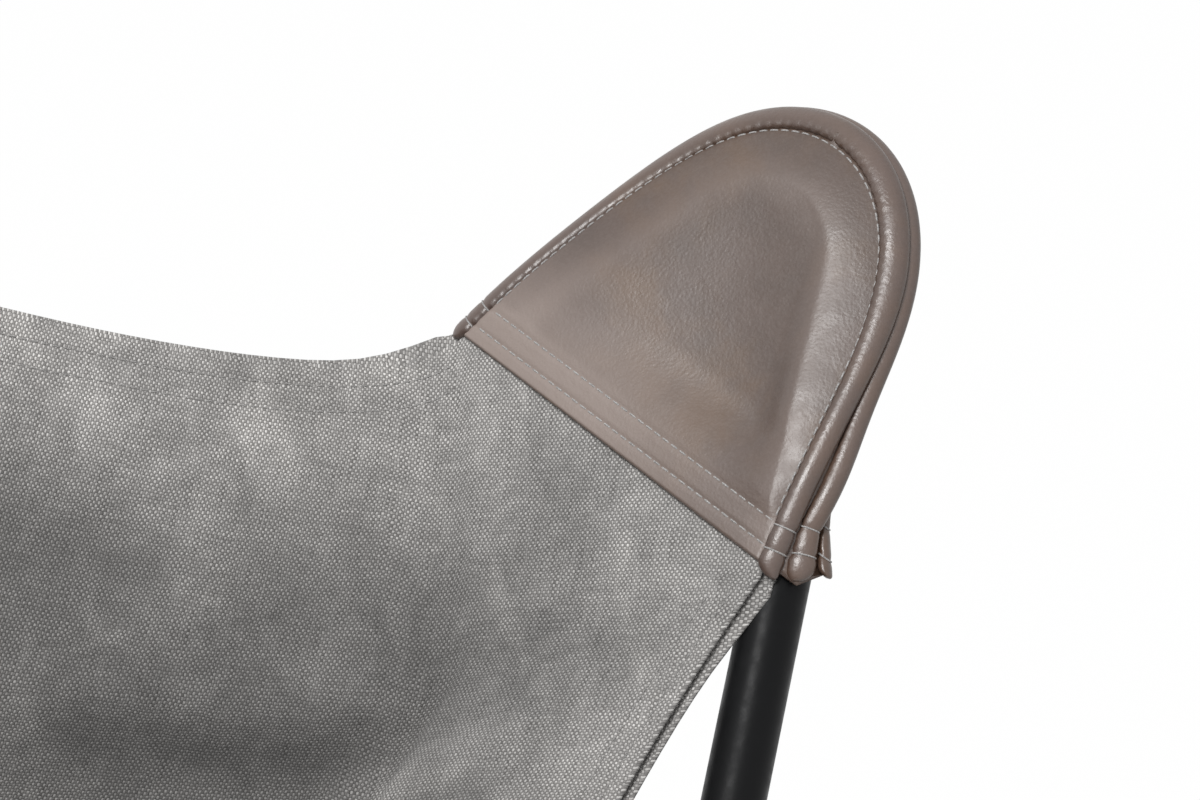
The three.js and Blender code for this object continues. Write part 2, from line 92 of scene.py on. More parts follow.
# The front panel's ridge is pulled up over the leg, just above the base rows
PULL = 1.3
PULL_RISE = 8, 8
PULL_FALL = 15, 17
PULL_ACROSS, PULL_REACH = 20, 13
SEAM_FALL = 0.5
EDGE_DOWN, EDGE_SHARE, EDGE_ROUND = 0.9, 0.62, 0.28
BASE_LIFT = 7
LIFT_RAMP = 44, 20

# Rims, where the panels meet their bindings
FRONT_RIM = 5.4
FRONT_RIM_BASE = CANVAS_TOP + GAP + 1.5
WALL_RIM = -5.0
WALL_RIM_BASE = 1.5
FLANGE_RUN = 82
ROLL_CLEAR = TUBE_R + 2.9
WALL_CLEAR = TUBE_R + 2.6
WALL_FLARE = TUBE_R + 7.2
FLARE_RUN = 22

# Rolled bindings: half width and half thickness, place and ends; pairs are for the front and the back
ROLLS = ((3.5, 2.2), (3.3, 2.2))
ROLL_IN = 4.1
ROLL_DROP = 2.0
ROLL_TILT = math.radians(27)
ROLL_STEP = 0.7
ROLL_SIDES = 20
BACK_ROLL_OUT = 2.6
BACK_ROLL_BEHIND = 4.8
BACK_ROLL_BULGE = 3.0
BULGE_AT, BULGE_RUN = 28, 20
ROLL_LIFT = 4
ROLL_END = 3.2
ROLL_TIP = 5.2
ROLL_TIP_SHIFT = (2.4, -1.6)
ROLL_FLARE = (0.06, 0.28)
ROLL_FLARE_RUN = 6
ROLL_SWELL = 0.3
SWELL_RAMP = 45, 45
ROLL_PINCH = 0.12
ROLL_SCALLOP = 0.06
PINCH_WIDTH = 0.9

# Gusset and the folded edges of the wall beside the legs
GUSSET = 1.3
RAISED_SHARE = 0.3
WALL_FOLD_R = 2.6
WALL_FOLD_SIDES = 18
WALL_FOLD_TIP = 1.5
WALL_FOLD_END = 0.35
WALL_FOLD_PINCH = 0.14
WALL_FOLD_HEIGHTS = np.linspace(BASE_LIFT - 0.6, FLARE_RUN + 6, 60)

# Stitching of the pockets
STITCH_INSET = 7.4
STITCH_OVER = 1.8
WALL_STITCH_IN = ROLL_IN + 4
BASE_ROWS = (3.9, 10.7)
ROW_DEPTH, ROW_WIDTH = 0.3, 0.8
WRAP_LIFT = 0.12
WRAP_STEPS = 16

# Sling: edges, hang and flat pattern
FRONT_EDGE_IN = 5
SIDE_EDGE_IN = 6
SEAT_SAG = 130
SAG_SPREAD = 2.2
FRONT_EDGE_LEAVE = 265
BACK_EDGE_LEAVE = 152
SIDE_EDGE_LEAVE_FRONT = 64
SIDE_EDGE_LEAVE_BACK = 157
ON_POCKET = 1 / 6
CORNER_CUT = 0.135
SLING_CELLS = 170
EDGE_CROWDING = 0.85
FLAT_CELLS = 36
FLAT_ROUNDS, FLAT_EASE = 700, 0.11

# Hems, which end where the pockets lap over them, and the lining's edge
HEM = 16.5
HEM_RISE, HEM_STEP = 0.45, 1.6
HEM_ROWS = (6.3, 14.5)
HEM_ROW_DEPTH, HEM_ROW_WIDTH = 0.3, 1.1
HEM_STITCH, HEM_PITCH = 2.6, 3.3
HEM_CLEAR = 0.004
FREE_RAMP = 0.15, 0.03
LINING_OUT = 2.4
LINING_OUT_RAMP = -0.002, 0.01
LINING_FLARE = 1.8
LINING_FLARE_AT, LINING_FLARE_RUN = 0.01, 0.02
LINING_DROP = 1.1
LINING_HEM = 0.6
LINING_REACH = 9

# Soft folds by a front corner, the other corners having less: lines on the flat pattern, rise and half width
FOLDS = [(((416, -231), (380, -279)), 1.6, 12), (((327, -259), (325, -285), (324, -328)), -2.6, 11),
         (((314, -340), (330, -390)), 2.6, 9), (((422, -375), (357, -422)), -1.5, 10),
         (((377, -200), (382, -246)), -1.3, 15)]
FOLD_SHARE = {"front_right": 1, "front_left": 0.7, "back_right": 0.5, "back_left": 0.6}

# Wear and painted light, kept for each point: a worn base edge, lighter roll crowns and painted highlights on
# the leather, painted light and shade on the canvas
TUBE_PAINTED_HIGHLIGHT, TUBE_HIGHLIGHT_REACH = 0.3, 6
SIDE_PAINTED_LIGHT_RISE = 52
SIDE_PAINTED_LIGHT_RAMP = -30, 90
STRIP_PAINTED_LIGHT, STRIP_PAINTED_LIGHT_RUN = 0.36, 5
EDGE_RUB = 0.3
ROLL_CROWN_LIGHTENING = 0.35
CANVAS_PAINTED_SHADING = (1.28, 0.68)
PAINTED_SHADING_RAMP = 15, 62
FOLD_PAINTED_SHADING = 0.14

# Thread
STITCH_PITCH = 3.6
STITCH_LENGTH = 3.0
THREAD_R = 0.26
THREAD_SIDES = 6

# Yarn pitches of the plain weave, across and along the seat
YARN_ACROSS = 0.886
YARN_ALONG = 0.80

# Camera of the photograph: place, direction to the camera, roll and focal length
CAMERA_AT = (-373.60, -300.31, 1007.02)
CAMERA_AZIMUTH = -92.582
CAMERA_ELEVATION = 32.363
CAMERA_ROLL = 7.079
CAMERA_LENS = 85.31
SENSOR_WIDTH = 36

# Studio, in metres: floor, world light and the key lamp's place, target, size and power
FLOOR_REACH = 9
FLOOR_WHITE = 0.99
WORLD_LIGHT = 0.42
KEY_LAMP = ((-0.53, 0.58, 2.38), (0.32, -0.34, 0.54), 0.95, 34)


# Small helpers on numbers and arrays of points
def unit(v):
    return v / np.linalg.norm(v, axis=-1, keepdims=True)


def mix(a, b, k):
    return a + (b - a) * k


def smooth(x):
    x = np.clip(x, 0, 1)
    return x * x * (3 - 2 * x)


def ramp(x, start, run):
    return smooth((x - start) / run)


def ease(x):
    return x ** 3 * (x * (6 * x - 15) + 10)


def bell(x, width):
    return np.exp(-(x / width) ** 2)


def point(p):
    return np.array(p, float)


def of_side(pair, side):
    """The front's value of a pair where side is 1, and the back's where it is -1."""
    return pair[0 if side > 0 else 1]


def crowded(count, share):
    """Steps from 0 to 1, drawn closer near both ends by a share."""
    k = np.linspace(0, 1, count + 1)
    return k - share * np.sin(2 * math.pi * k) / (2 * math.pi)


def around(sides):
    """Even turns round a section."""
    return np.linspace(0, 2 * math.pi, sides, endpoint=False)


def run_along(path):
    """Length of a path from its start to each of its points."""
    return np.concatenate([[0], np.cumsum(np.linalg.norm(np.diff(path, axis=0), axis=1))])


def follow(at, run, values):
    """Rows of values that are given along a run, read at other places on it."""
    return np.stack([np.interp(at, run, column) for column in values.T], axis=-1)


def resample(path, spacing):
    """Points at even steps along a path, close to the spacing asked for."""
    run = run_along(path)
    count = max(2, int(round(run[-1] / spacing)) + 1)
    at = np.linspace(0, run[-1], count)
    return follow(at, run, path)


def distance_to(points, line):
    """Least distance from each 2D point to a polyline."""
    best = np.full(len(points), np.inf)
    for a, b in zip(line[:-1], line[1:]):
        along = b - a
        k = np.clip(((points - a) @ along) / (along @ along), 0, 1)
        best = np.minimum(best, np.linalg.norm(points - a - k[:, None] * along, axis=1))
    return best


# Meshes
def add_to_scene(name, data):
    made = bpy.data.objects.new(name, data)
    bpy.context.scene.collection.objects.link(made)
    return made


def make_object(name, points, faces, slot, material, nodes=(), rub=None, uv=None):
    """A smooth closed piece from points in millimetres, riding on the chair and standing for CAD nodes.

    The per-point values give the leather's wear, lighter crowns and painted highlights, and the canvas's
    painted light and shade; uv is each point's place on the flat cloth.
    """
    mesh = bpy.data.meshes.new(name)
    mesh.from_pydata((np.asarray(points) * MM).tolist(), [], faces)
    body = bmesh.new()
    body.from_mesh(mesh)
    bmesh.ops.recalc_face_normals(body, faces=body.faces)
    body.to_mesh(mesh)
    body.free()
    mesh.polygons.foreach_set("use_smooth", [True] * len(mesh.polygons))
    if rub is not None:
        mesh.attributes.new("rub", "FLOAT", "POINT").data.foreach_set("value", np.asarray(rub, np.float32))
    if uv is not None:
        loops = np.zeros(len(mesh.loops), int)
        mesh.loops.foreach_get("vertex_index", loops)
        layer = mesh.uv_layers.new(name="weave")
        layer.data.foreach_set("uv", np.asarray(uv, np.float32)[loops].ravel())
    mesh.materials.append(material)
    piece = add_to_scene(name, mesh)
    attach(piece, "root")
    if nodes:
        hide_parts(*nodes)
    return piece


def ring_faces(rings, sides, closed=False, start=0):
    """Quads between rings of points that follow each other, with end caps unless the run is closed."""
    faces = []
    for i in range(rings if closed else rings - 1):
        a = start + i * sides
        b = start + ((i + 1) % rings) * sides
        for j in range(sides):
            k = (j + 1) % sides
            faces.append((a + j, a + k, b + k, b + j))
    if not closed:
        faces.append(tuple(start + j for j in reversed(range(sides))))
        faces.append(tuple(start + (rings - 1) * sides + j for j in range(sides)))
    return faces


def carried_frames(path, closed):
    """Two directions square to a path at each of its points, carried along it without twist."""
    ahead = np.roll(path, -1, axis=0)
    behind = np.roll(path, 1, axis=0)
    if not closed:
        ahead[-1] = path[-1]
        behind[0] = path[0]
    tangents = unit(ahead - behind)
    side = np.cross(tangents[0], (0, 0, 1) if abs(tangents[0][2]) < 0.9 else (1, 0, 0))
    sides = []
    for tangent in tangents:
        side = unit(side - tangent * (side @ tangent))
        sides.append(side)
    sides = np.array(sides)
    if closed:
        last = unit(sides[-1] - tangents[0] * (sides[-1] @ tangents[0]))
        twist = math.atan2(np.cross(sides[0], last) @ tangents[0], last @ sides[0])
        turn = -twist * np.linspace(0, 1, len(path))[:, None]
        sides = sides * np.cos(turn) + np.cross(tangents, sides) * np.sin(turn)
    return sides, np.cross(tangents, sides)


def tube(path, radius, sides, closed=False):
    """Points and faces of a round tube along a path."""
    first, second = carried_frames(path, closed)
    turn = around(sides)[None, :, None]
    points = path[:, None] + radius * (np.cos(turn) * first[:, None] + np.sin(turn) * second[:, None])
    return points.reshape(-1, 3), ring_faces(len(path), sides, closed)


def join(parts):
    """One list of points and faces from several."""
    points, faces, count = [], [], 0
    for some_points, some_faces in parts:
        points.append(some_points)
        faces += [tuple(i + count for i in face) for face in some_faces]
        count += len(some_points)
    return np.concatenate(points), faces


def stitches(path, normals, length=STITCH_LENGTH, pitch=STITCH_PITCH, sunk=0.1):
    """Separate stitches of thread along a path that lies on a surface."""
    run = run_along(path)
    starts = np.arange(pitch / 2, run[-1] - length, pitch)
    a, b = follow(starts, run, path), follow(starts + length, run, path)
    up = unit(follow(starts + length / 2, run, normals))
    ahead = unit(b - a)
    side = unit(np.cross(up, ahead))
    lift = np.array([-1.1, 0.1, 0.55, 0.7, 0.55, 0.1, -1.1]) * THREAD_R
    thick = np.array([0.55, 0.9, 1.0, 1.0, 1.0, 0.9, 0.55]) * THREAD_R
    reach = np.array([0, 0.08, 0.25, 0.5, 0.75, 0.92, 1.0])
    turn = around(THREAD_SIDES)
    ring = np.stack([np.cos(turn), np.sin(turn)], axis=1)
    points = []
    for k in range(len(reach)):
        middle = mix(a, b, reach[k]) + up * (lift[k] - sunk)
        for across, rise in ring:
            points.append(middle + side * across * thick[k] * 1.15 + up * rise * thick[k])
    points = np.stack(points, axis=1).reshape(-1, 3)
    faces = []
    for i in range(len(starts)):
        faces += ring_faces(len(reach), THREAD_SIDES, start=i * len(reach) * THREAD_SIDES)
    return points, faces


# Materials
class Nodes:
    """A node tree, with short ways to add to it."""

    def __init__(self, tree):
        self.tree = tree

    def connect(self, socket, value):
        if isinstance(value, bpy.types.NodeSocket):
            self.tree.links.new(value, socket)
        elif hasattr(value, "__len__") and len(value) == 3 and socket.type == "RGBA":
            socket.default_value = (*value, 1)
        else:
            socket.default_value = value

    def node(self, kind, inputs, output=0, **settings):
        made = self.tree.nodes.new(kind)
        for name, value in settings.items():
            setattr(made, name, value)
        for name, value in inputs.items():
            self.connect(made.inputs[name], value)
        return made.outputs[output]

    def math(self, operation, a, b=0.0, c=0.0):
        return self.node("ShaderNodeMath", {0: a, 1: b, 2: c}, operation=operation)

    def whiten(self, kind, lit, output, share):
        """Send a lit shader to an output, under a share of plain white where the camera or gloss see it."""
        path = self.tree.nodes.new("ShaderNodeLightPath").outputs
        seen = path["Is Camera Ray"]
        for name in ("Is Glossy Ray", "Is Transmission Ray"):
            seen = self.math("MAXIMUM", seen, path[name])
        white = self.node(kind, {"Color": (1, 1, 1)})
        self.connect(output, self.node("ShaderNodeMixShader", {0: self.math("MULTIPLY", seen, share), 1: lit,
                                                               2: white}))


class Shader(Nodes):
    """A node material with one principled surface."""

    def __init__(self, name, **settings):
        self.material = bpy.data.materials.new(name)
        self.material.use_nodes = True
        super().__init__(self.material.node_tree)
        self.surface = self.tree.nodes["Principled BSDF"]
        self.set(**settings)

    def set(self, **settings):
        for name, value in settings.items():
            self.connect(self.surface.inputs[name.replace("_", " ").title().replace("Ior", "IOR")], value)

    def place(self):
        return self.node("ShaderNodeTexCoord", {}, "Object")

    def uv(self):
        return self.node("ShaderNodeUVMap", {}, uv_map="weave")

    def attribute(self, name):
        return self.node("ShaderNodeAttribute", {}, "Fac", attribute_name=name)

    def stretched(self, at, scale):
        return self.node("ShaderNodeMapping", {"Vector": at, "Scale": scale})

    def noise(self, at, scale, detail=3.0, rough=0.55, shift=0.0):
        inputs = {"Vector": at, "Scale": scale, "Detail": detail, "Roughness": rough, "Distortion": shift}
        return self.node("ShaderNodeTexNoise", inputs)

    def cells(self, at, scale, feature="F1"):
        return self.node("ShaderNodeTexVoronoi", {"Vector": at, "Scale": scale}, "Distance", feature=feature)

    def span(self, value, low, high, to_low=0.0, to_high=1.0):
        inputs = {"Value": value, "From Min": low, "From Max": high, "To Min": to_low, "To Max": to_high}
        return self.node("ShaderNodeMapRange", inputs, interpolation_type="SMOOTHSTEP")

    def blend(self, k, a, b, kind="MIX"):
        return self.node("ShaderNodeMix", {0: k, 6: a, 7: b}, 2, data_type="RGBA", blend_type=kind)

    def bump(self, height, depth, strength, under=None):
        """A normal from a height in metres, over another normal if there is one."""
        inputs = {"Height": height, "Distance": depth, "Strength": strength}
        if under is not None:
            inputs["Normal"] = under
        return self.node("ShaderNodeBump", inputs, "Normal")


def leather_material(name, shade, gloss):
    """Taupe leather with a brown cast in patches; shade scales its tone, gloss lowers its roughness."""
    s = Shader(name, Specular_Ior_Level=0.8)
    at = s.place()
    toned = lambda *colour: tuple(k * c for k, c in zip(shade, colour))
    patches = s.span(s.noise(at, 17, 4, 0.6, 0.5), 0.42, 0.62)
    clouds = s.span(s.noise(at, 48, 4, 0.6), 0.35, 0.72)
    flecks = s.noise(at, 900, 3, 0.7)
    rub = s.attribute("rub")
    tone = s.blend(patches, toned(0.093, 0.061, 0.048), toned(0.114, 0.066, 0.038))
    tone = s.blend(s.math("MULTIPLY", clouds, 0.55), tone, toned(0.061, 0.040, 0.031))
    tone = s.blend(s.span(flecks, 0.35, 0.7, 0.0, 0.14), tone, toned(0.22, 0.18, 0.165))
    # Lighter where the per-point values are high: painted highlights, lighter roll crowns and the worn base
    # edge
    tone = s.blend(s.math("MULTIPLY", rub, 0.84), tone, toned(0.275, 0.218, 0.192))
    pebble = s.cells(at, 1150, feature="SMOOTH_F1")
    pores = s.noise(at, 2600, 2, 0.6)
    pull = s.noise(s.stretched(at, (1, 1, 1.6)), 130, 3, 0.55)
    normal = s.bump(pull, 0.0005, 0.25)
    normal = s.bump(pebble, 0.0002, 0.3, normal)
    normal = s.bump(pores, 0.0001, 0.35, normal)
    rough = s.span(s.noise(at, 160, 3), 0.3, 0.7, 0.37 - gloss, 0.47 - gloss)
    s.set(Base_Color=tone, Roughness=rough, Normal=normal)
    return s.material


def canvas_material():
    s = Shader("heather_canvas", Roughness=0.88, Sheen_Weight=0.2, Sheen_Roughness=0.6)
    uv = s.uv()
    wander = s.node("ShaderNodeTexNoise", {"Vector": uv, "Scale": 170, "Detail": 2.0}, "Color")
    bent = s.node("ShaderNodeVectorMath", {0: wander, 1: (0.5, 0.5, 0.5)}, operation="SUBTRACT")
    bent = s.node("ShaderNodeVectorMath", {0: bent, 1: (0.0014, 0.0014, 0.0)}, operation="MULTIPLY")
    bent = s.node("ShaderNodeVectorMath", {0: uv, 1: bent}, operation="ADD")
    yarns = s.stretched(bent, (1 / (YARN_ACROSS * MM), 1 / (YARN_ALONG * MM), 1))
    parts = s.tree.nodes.new("ShaderNodeSeparateXYZ")
    s.connect(parts.inputs[0], yarns)
    x, y = parts.outputs[0], parts.outputs[1]
    wave = s.math("MULTIPLY", *(s.math("SINE", s.math("MULTIPLY", k, math.pi)) for k in (x, y)))
    dome = s.math("POWER", s.math("ABSOLUTE", wave), 0.55)
    over = s.span(wave, -0.22, 0.32)
    warp, weft = (s.node("ShaderNodeTexWhiteNoise", {"W": s.math("FLOOR", k)}, "Value", noise_dimensions="1D")
                  for k in (x, y))
    slub_along = s.noise(s.stretched(yarns, (1.0, 0.09, 1)), 1.0, 2, 0.6)
    slub_across = s.noise(s.stretched(yarns, (0.09, 1.0, 1)), 1.0, 2, 0.6)
    light = s.blend(s.span(slub_along, 0.25, 0.75), (0.43, 0.418, 0.404), (0.76, 0.742, 0.72))
    light = s.blend(s.math("MULTIPLY", warp, 0.18), light, (0.30, 0.292, 0.285))
    dark = s.blend(s.span(slub_across, 0.25, 0.75), (0.145, 0.137, 0.131), (0.35, 0.337, 0.326))
    dark = s.blend(s.math("MULTIPLY", weft, 0.18), dark, (0.46, 0.45, 0.44))
    tone = s.blend(over, dark, light)
    # Painted shade in the gaps between the yarns
    tone = s.blend(s.span(dome, 0.05, 0.7, 0.62, 0.0), tone, (0.05, 0.047, 0.045))
    washed = s.span(s.noise(uv, 55, 5, 0.66, 0.7), 0.32, 0.68)
    broad = s.span(s.noise(uv, 17, 4, 0.6, 0.4), 0.34, 0.66)
    wash_and_painted_light = s.math("MULTIPLY_ADD", washed, 0.42, s.math("MULTIPLY_ADD", broad, 0.36, 0.1))
    tone = s.blend(wash_and_painted_light, tone, s.blend(0.5, tone, (0.0, 0.0, 0.0)))
    veins = s.math("ABSOLUTE", s.math("SUBTRACT", s.noise(uv, 11, 2, 0.5, 0.6), 0.5))
    creased = s.span(s.noise(uv, 26, 3, 0.6), 0.42, 0.62)
    creased = s.math("MULTIPLY", creased, s.span(veins, 0.0, 0.075, 0.5, 0.0))
    faded = s.blend(1.0, tone, (1.5, 1.5, 1.49), "MULTIPLY")
    tone = s.blend(creased, tone, faded)
    # Painted light and shade: the tone is scaled by the per-point values of the sling
    tone = s.blend(1.0, tone, s.attribute("rub"), "MULTIPLY")
    fuzz = s.noise(uv, 5200, 2, 0.7)
    normal = s.bump(dome, 0.00032, 0.7)
    normal = s.bump(fuzz, 0.0001, 0.35, normal)
    s.set(Base_Color=tone, Normal=normal)
    return s.material


def thread_material(name, dark, light):
    s = Shader(name, Roughness=0.66, Sheen_Weight=0.15)
    twist = s.noise(s.place(), 2400, 2, 0.6)
    s.set(Base_Color=s.blend(s.span(twist, 0.3, 0.7), dark, light), Normal=s.bump(twist, 0.00012, 0.6))
    return s.material


def steel_material():
    s = Shader("black_powder_coat", Specular_Ior_Level=0.12)
    at = s.place()
    peel = s.noise(at, 620, 3, 0.5)
    dust = s.span(s.noise(at, 90, 5, 0.65), 0.5, 0.75)
    tone = s.blend(s.math("MULTIPLY", dust, 0.3), (0.006, 0.0062, 0.0068), (0.014, 0.0143, 0.0155))
    s.set(Base_Color=tone, Roughness=s.span(s.noise(at, 240, 3), 0.3, 0.7, 0.34, 0.46),
          Normal=s.bump(peel, 0.00014, 0.25))
    return s.material


def zinc_material():
    s = Shader("black_zinc", Metallic=1.0)
    at = s.place()
    tone = s.blend(s.span(s.noise(at, 420, 4), 0.35, 0.7), (0.045, 0.046, 0.05), (0.10, 0.098, 0.095))
    s.set(Base_Color=tone, Roughness=s.span(s.noise(at, 700, 3), 0.3, 0.7, 0.3, 0.48),
          Normal=s.bump(s.noise(at, 1500, 2), 0.00008, 0.35))
    return s.material


def plastic_material():
    s = Shader("black_moulded_plastic", Specular_Ior_Level=0.45)
    at = s.place()
    tone = s.blend(s.span(s.noise(at, 300, 4), 0.4, 0.7), (0.012, 0.012, 0.0125), (0.026, 0.0255, 0.025))
    s.set(Base_Color=tone, Roughness=s.span(s.noise(at, 500, 3), 0.3, 0.7, 0.5, 0.66),
          Normal=s.bump(s.cells(at, 1600), 0.0001, 0.3))
    return s.material


# Tube frame: closed loops of straight legs and round bends
def loop_path(names):
    corners = []
    for k, name in enumerate(names):
        corners.append((point(EARS[name]), EAR_BEND) if k % 2 == 0 else (point(FEET[name]), FOOT_BEND))
    path = []
    for k, (at, bend) in enumerate(corners):
        back = unit(corners[k - 1][0] - at)
        on = unit(corners[(k + 1) % len(corners)][0] - at)
        half = math.acos(back @ on) / 2
        middle = unit(back + on)
        centre = at + middle * bend / math.sin(half)
        side = unit(back - on)
        turn = math.pi / 2 - half
        for angle in np.linspace(-turn, turn, BEND_STEPS):
            path.append(centre - middle * bend * math.cos(angle) - side * bend * math.sin(angle))
    return np.array(path)


def make_frame(material):
    for name, corners in LOOPS.items():
        shape = tube(loop_path(corners), TUBE_R, TUBE_SIDES, closed=True)
        make_object(f"{name}_tube", *shape, "black_steel", material, [name])


# Ears and the way each pocket sits on its ear
class Ear:
    """The plane of one ear, with its middle on the pocket's base line."""

    def __init__(self, name):
        loop = next(names for names in LOOPS.values() if names.index(name) % 2 == 0)
        at = point(EARS[name])
        feet = [point(FEET[loop[1]]), point(FEET[loop[3]])]
        x_foot, y_foot = sorted(feet, key=lambda foot: foot[1] * at[1] < 0)
        x_leg, y_leg = unit(x_foot - at), unit(y_foot - at)
        self.up = -unit(x_leg + y_leg)
        self.across = unit(x_leg - y_leg)
        self.facing = np.cross(self.across, self.up)
        if self.facing[2] < 0:
            self.facing = -self.facing
        self.half = math.acos(x_leg @ y_leg) / 2
        self.corner_h = POCKET_HANG + EAR_BEND * (1 / math.sin(self.half) - 1)
        self.origin = at - self.up * self.corner_h
        turn, self.shift_t, self.shift_h, self.lean, self.dent = SEATING[name]
        self.turn = math.radians(turn)

    def place(self, t, h, n):
        t, h, n = np.broadcast_arrays(t, h, n)
        return self.origin + t[..., None] * self.across + h[..., None] * self.up + n[..., None] * self.facing

    def seat(self, t, h):
        """From the pocket's own pattern to the ear's plane."""
        c, s = math.cos(self.turn), math.sin(self.turn)
        return self.shift_t + c * t - (s + self.lean) * h, self.shift_h + s * t + c * h

    def seated(self, t, h, n):
        return self.place(*self.seat(t, h), n)

    def half_width(self, h, outside):
        """Half the width, at a height, of the line that runs this far outside the tube's middle line."""
        centre = POCKET_HANG - EAR_BEND
        bent = EAR_BEND + outside
        straight = outside / math.cos(self.half) + (self.corner_h - h) * math.tan(self.half)
        top = np.sqrt(np.maximum(0, bent ** 2 - (h - centre) ** 2))
        return np.where(h < centre + bent * math.sin(self.half), straight, top)

    def cleared(self, t, h, n, reach):
        """Places in the pattern, moved sideways until they lie this far from the tube's middle line."""
        ear_t, ear_h = self.seat(t, h)
        chord = np.sqrt(np.maximum(0, reach ** 2 - n ** 2))
        need = np.where(chord > 0, self.half_width(ear_h, chord), 0)
        return np.stack([t + np.sign(t) * np.maximum(0, need - np.abs(ear_t)), h, n], axis=1)

    def tube_line(self):
        h = np.concatenate([np.linspace(-10, POCKET_HANG - 8, 40),
                            POCKET_HANG - 8 * np.linspace(1, 0, 24)[1:] ** 2])
        t = self.half_width(h, 0)
        return np.concatenate([np.stack([-t, h], axis=1), np.stack([t, h], axis=1)[-2::-1]])


def pattern_half(h, inset, over=0):
    """Half the width of a pocket's pattern at a height, drawn in by an inset, and by over at its top."""
    rise = np.clip(h / (POCKET_H - inset - over), 0, 1)
    return (POCKET_HALF - inset - POCKET_TAPER * h) * np.sqrt(1 - rise ** POCKET_BLUNTNESS)


def outline(angle, inset, over=0):
    """Point on a pocket's pattern, drawn in by an inset; angle 0 and pi are the base's corners."""
    h = (POCKET_H - inset - over) * np.abs(np.sin(angle))
    return -np.sign(np.cos(angle)) * pattern_half(h, inset, over), h


def base_share(h):
    return 1 - smooth((h - LAP / 2) / FLANGE_RUN)


def front_seam(h):
    """How far before the ear's plane the front panel meets its rolled rim."""
    return mix(FRONT_RIM, FRONT_RIM_BASE, base_share(h))


def wall_seam(h):
    """How far before the ear's plane the back panel's wall starts."""
    return mix(WALL_RIM, WALL_RIM_BASE, base_share(h))


def front_rim(ear, t, h):
    return ear.cleared(t, h, front_seam(h) - ROLL_DROP, ROLL_CLEAR)


def back_rim(ear, t, h):
    t = t + (t > 0) * BACK_ROLL_BULGE * bell(h - BULGE_AT, BULGE_RUN)
    return ear.cleared(t, h, front_seam(h) - ROLL_DROP - BACK_ROLL_BEHIND, ROLL_CLEAR)


def wall_rim(ear, t, h):
    """Where the back panel's wall starts, flared at its base round the leg."""
    reach = mix(WALL_FLARE, WALL_CLEAR, smooth(h / FLARE_RUN))
    return ear.cleared(t, h, wall_seam(h), reach)


def base_line(side, t):
    """Height of a panel's base edge; the back one rises beside the legs."""
    return BASE_LIFT * ramp(np.abs(t), *LIFT_RAMP) * (side < 0)


def panel_height(ear, side, t, h):
    """Outer skin of a panel over the ear's plane, for points of the pocket's pattern."""
    shape = np.shape(t)
    t, h = np.ravel(t), np.ravel(h)
    angle = np.linspace(0, math.pi, 160)
    if side > 0:
        rim = np.stack(outline(angle, STITCH_INSET, STITCH_OVER), axis=1)
    else:
        rim = wall_rim(ear, *outline(angle, ROLL_IN))[:, :2]
    to_rim = distance_to(np.stack([t, h], axis=1), rim)
    ear_t, ear_h = ear.seat(t, h)
    place = np.stack([ear_t, ear_h], axis=1)
    to_tube = distance_to(place, ear.tube_line())
    tube_half = ear.half_width(ear_h, 0)
    inside = np.abs(ear_t) < tube_half
    slope = to_tube / np.maximum(to_tube + to_rim, 1e-6)
    sunk = HOLLOW * ramp(h, *HOLLOW_RAMP) * (1 - bell(to_tube, HOLLOW_REACH))
    if side > 0:
        lap = 1 - smooth((h - LAP) / LAP)
        slack = SLACK * (1 - ramp(ear_h, *SLACK_RAMP))
        ridge = mix(TUBE_R + GAP + LEATHER + slack, CANVAS_TOP + GAP + LEATHER, lap)
        seam = front_seam(h)
        place_between = np.clip(ear_t / np.maximum(tube_half, 1) / 2 + 0.5, 0, 1)
        valley = np.where(place_between < VALLEY, smooth(place_between / VALLEY),
                          smooth((1 - place_between) / (1 - VALLEY)))
        dent = ramp(h, *DENT_RAMP) * bell(ear_h - DENT_AT, DENT_RUN)
        sunk = sunk + ear.dent * valley * dent
        pull = PULL * ramp(h, *PULL_RISE) * (1 - ramp(h, *PULL_FALL))
        pull = pull * smooth(ear_t / PULL_ACROSS)
        crest = ridge + pull
        height = np.where(inside, ridge - sunk + pull * bell(to_tube, PULL_REACH),
                          crest + (seam - crest) * slope ** PANEL_SLOPE[0])
        beyond = np.abs(t) > pattern_half(h, STITCH_INSET, STITCH_OVER)
        height = np.where(beyond, seam - SEAM_FALL * to_rim, height)
        for row in BASE_ROWS:
            height = height - ROW_DEPTH * bell(h - row, ROW_WIDTH)
    else:
        ridge = TUBE_R + GAP + LEATHER
        seam = -wall_seam(h)
        height = np.where(inside, ridge - sunk, ridge + (seam - ridge) * slope ** PANEL_SLOPE[1])
    return (side * height).reshape(shape)


def on_panel(ear, side, t, h):
    """Points and outward normals on a panel's outer skin."""
    step = 0.4
    place = lambda dt, dh: ear.seated(t + dt, h + dh, panel_height(ear, side, t + dt, h + dh))
    normal = np.cross(place(step, 0) - place(-step, 0), place(0, step) - place(0, -step))
    flip = np.sign(normal @ ear.facing * side)
    return place(0, 0), unit(normal * flip[..., None])


